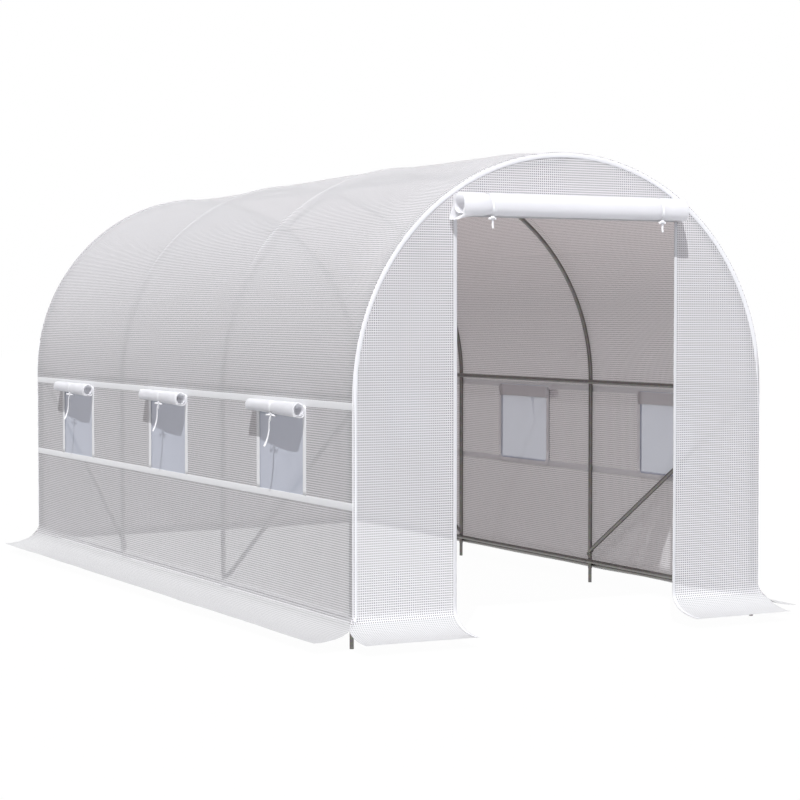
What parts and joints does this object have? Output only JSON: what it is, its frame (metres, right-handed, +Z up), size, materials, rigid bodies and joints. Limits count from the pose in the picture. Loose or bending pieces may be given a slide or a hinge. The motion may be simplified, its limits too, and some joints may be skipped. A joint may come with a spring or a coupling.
{
  "type": "polytunnel greenhouse",
  "caption": "Walk-in polytunnel greenhouse: steel tube hoops under a translucent ripstop cover, with a rolled-up door, rolled-up side windows and flared ground skirts.",
  "frame": {"origin": "centre of the plan, on the ground under the feet", "axes": "+Y from the door end to the rear end, +X to the right of someone facing the door, +Z up"},
  "size_m": [2.4066, 4.416, 2.0282],
  "materials": {
    "steel_tube": "dull zinc-coated steel tube",
    "cover_sheet": "translucent white ripstop film with a 10 mm thread grid",
    "cover_tape": "white welded tape",
    "window_screen": "fine insect gauze, pale blue-grey",
    "tie_strap": "white woven strap"
  },
  "bodies": {
    "root": {"left_legs": "steel_tube", "right_legs": "steel_tube", "front_arch": "steel_tube", "second_arch": "steel_tube", "third_arch": "steel_tube", "rear_arch": "steel_tube", "foot_pegs": "steel_tube", "left_rails": "steel_tube", "right_rails": "steel_tube", "ridge_rail": "steel_tube", "left_braces": "steel_tube", "right_braces": "steel_tube", "roof_sheet": "cover_sheet", "left_window_band": "cover_sheet", "right_window_band": "cover_sheet", "left_lower_wall": "cover_sheet", "right_lower_wall": "cover_sheet", "left_skirt": "cover_sheet", "right_skirt": "cover_sheet", "front_left_panel": "cover_sheet", "front_right_panel": "cover_sheet", "front_gable": "cover_sheet", "front_left_skirt": "cover_sheet", "front_right_skirt": "cover_sheet", "rear_panel": "cover_sheet", "rear_skirt": "cover_sheet", "left_window_rolls": "cover_sheet", "right_window_rolls": "cover_sheet", "door_roll": "cover_sheet", "left_seam_tapes": "cover_tape", "right_seam_tapes": "cover_tape", "left_window_tapes": "cover_tape", "right_window_tapes": "cover_tape", "front_edge_tape": "cover_tape", "rear_edge_tape": "cover_tape", "door_tapes": "cover_tape", "left_window_screens": "window_screen", "right_window_screens": "window_screen", "left_window_ties": "tie_strap", "right_window_ties": "tie_strap", "door_ties": "tie_strap", "left_tie_tail_1": "tie_strap", "left_tie_tail_2": "tie_strap", "left_tie_tail_3": "tie_strap", "right_tie_tail_1": "tie_strap", "right_tie_tail_2": "tie_strap", "right_tie_tail_3": "tie_strap"}
  },
  "joints": []
}
